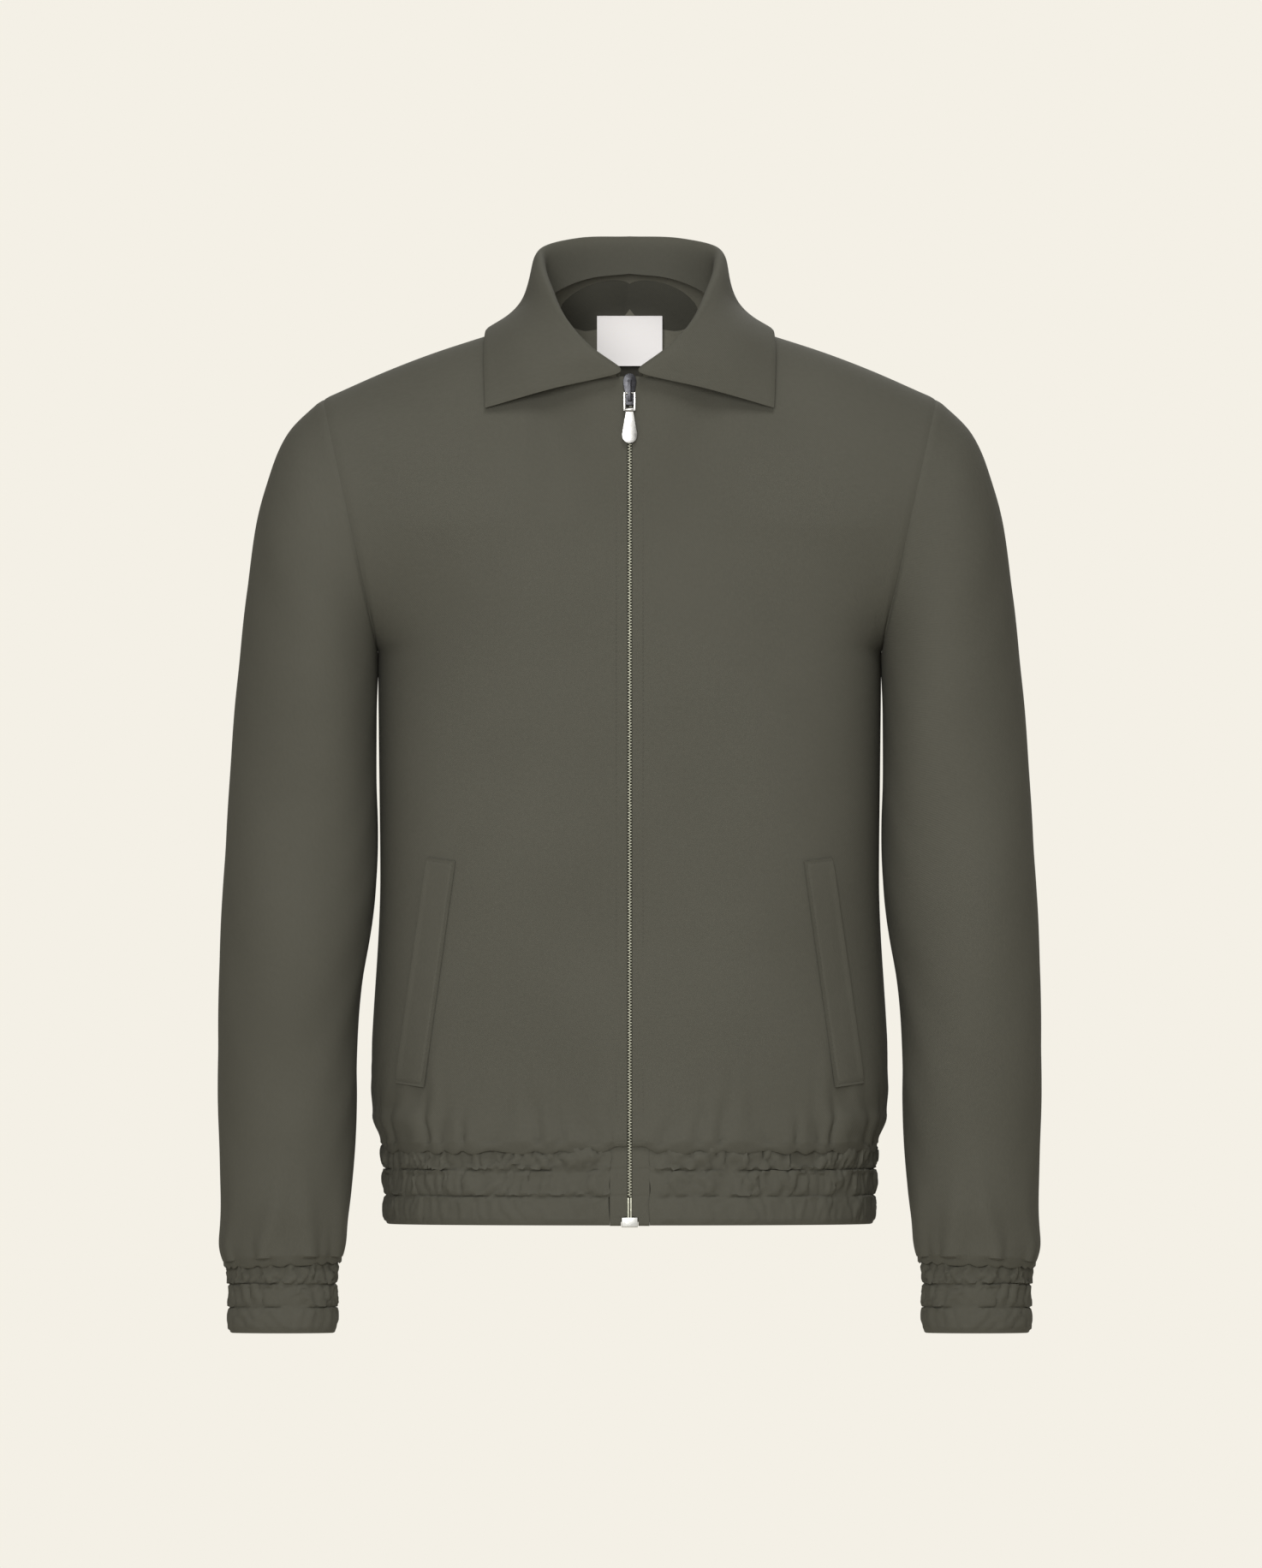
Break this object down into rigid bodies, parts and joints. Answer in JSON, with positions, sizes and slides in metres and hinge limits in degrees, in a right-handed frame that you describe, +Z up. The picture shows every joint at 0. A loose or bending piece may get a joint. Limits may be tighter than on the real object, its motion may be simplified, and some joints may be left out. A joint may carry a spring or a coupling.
{
  "type": "zip-front jacket",
  "caption": "Zip-front blouson jacket with a turn-down collar, slanted welt pockets and elasticated hem and cuffs.",
  "frame": {"origin": "between the shoulders, level with the foot of the collar, where the wearer's shoulders carry the jacket", "axes": "+Z up along the body, -Y out of the front, +X towards the wearer's left sleeve"},
  "size_m": [0.617, 0.2519, 0.8229],
  "materials": {
    "shell_fabric": "tightly woven matt polyester-cotton twill",
    "lining": "plain woven lining with a faint sheen",
    "elastic": "knitted elastic tape",
    "woven_label": "satin-woven label, blank",
    "zip_tape": "woven zip tape",
    "zip_teeth": "small metal teeth, dull",
    "zip_slider": "dark plated die-cast slider",
    "zip_pull": "bright nickel-plated pull",
    "zip_box": "bright retainer box"
  },
  "bodies": {
    "jacket_body": {"back_panel": "shell_fabric", "left_front": "shell_fabric", "right_front": "shell_fabric", "hem_band": "shell_fabric", "hem_elastic": "elastic", "upper_collar": "shell_fabric", "collar_interlining": "lining", "under_collar": "shell_fabric", "back_neck_facing": "lining", "neck_label": "woven_label", "left_zip_tape": "zip_tape", "right_zip_tape": "zip_tape", "left_zip_teeth": "zip_teeth", "right_zip_teeth": "zip_teeth", "left_top_stop": "zip_teeth", "right_top_stop": "zip_teeth", "insertion_pin": "zip_teeth", "retainer_pin": "zip_teeth", "retainer_box": "zip_box", "left_hem_tab": "shell_fabric", "right_hem_tab": "shell_fabric", "left_front_facing": "lining", "right_front_facing": "lining", "left_pocket_welt": "shell_fabric", "right_pocket_welt": "shell_fabric", "left_pocket_bag": "lining", "right_pocket_bag": "lining"},
    "left_arm": {"left_sleeve": "shell_fabric", "left_cuff": "shell_fabric", "left_cuff_elastic": "elastic"},
    "right_arm": {"right_sleeve": "shell_fabric", "right_cuff": "shell_fabric", "right_cuff_elastic": "elastic"},
    "slider": {"slider_body": "zip_slider", "slider_back_plate": "zip_slider"},
    "stirrup": {"pull_link": "zip_pull"},
    "tab": {"pull_tab": "zip_pull"}
  },
  "joints": [
    {"name": "left_sleeve_lift", "type": "hinge", "parent": "jacket_body", "child": "left_arm", "pos_m": [0.231, 0, -0.047], "axis": [0, -1, 0], "range_deg": [0, 35]},
    {"name": "right_sleeve_lift", "type": "hinge", "parent": "jacket_body", "child": "right_arm", "pos_m": [-0.231, 0, -0.047], "axis": [0, 1, 0], "range_deg": [0, 35]},
    {"name": "zip_slide", "type": "slide", "parent": "jacket_body", "child": "slider", "axis": [0, -0.075, -0.9972], "range_m": [0, 0.6]},
    {"name": "pull_link_hinge", "type": "hinge", "parent": "slider", "child": "stirrup", "pos_m": [0, -0.08476, -0.04568], "axis": [-1, 0, 0], "range_deg": [0, 120]},
    {"name": "pull_tab_hinge", "type": "hinge", "parent": "stirrup", "child": "tab", "pos_m": [0, -0.0857, -0.05814], "axis": [-1, 0, 0], "range_deg": [0, 90]}
  ]
}
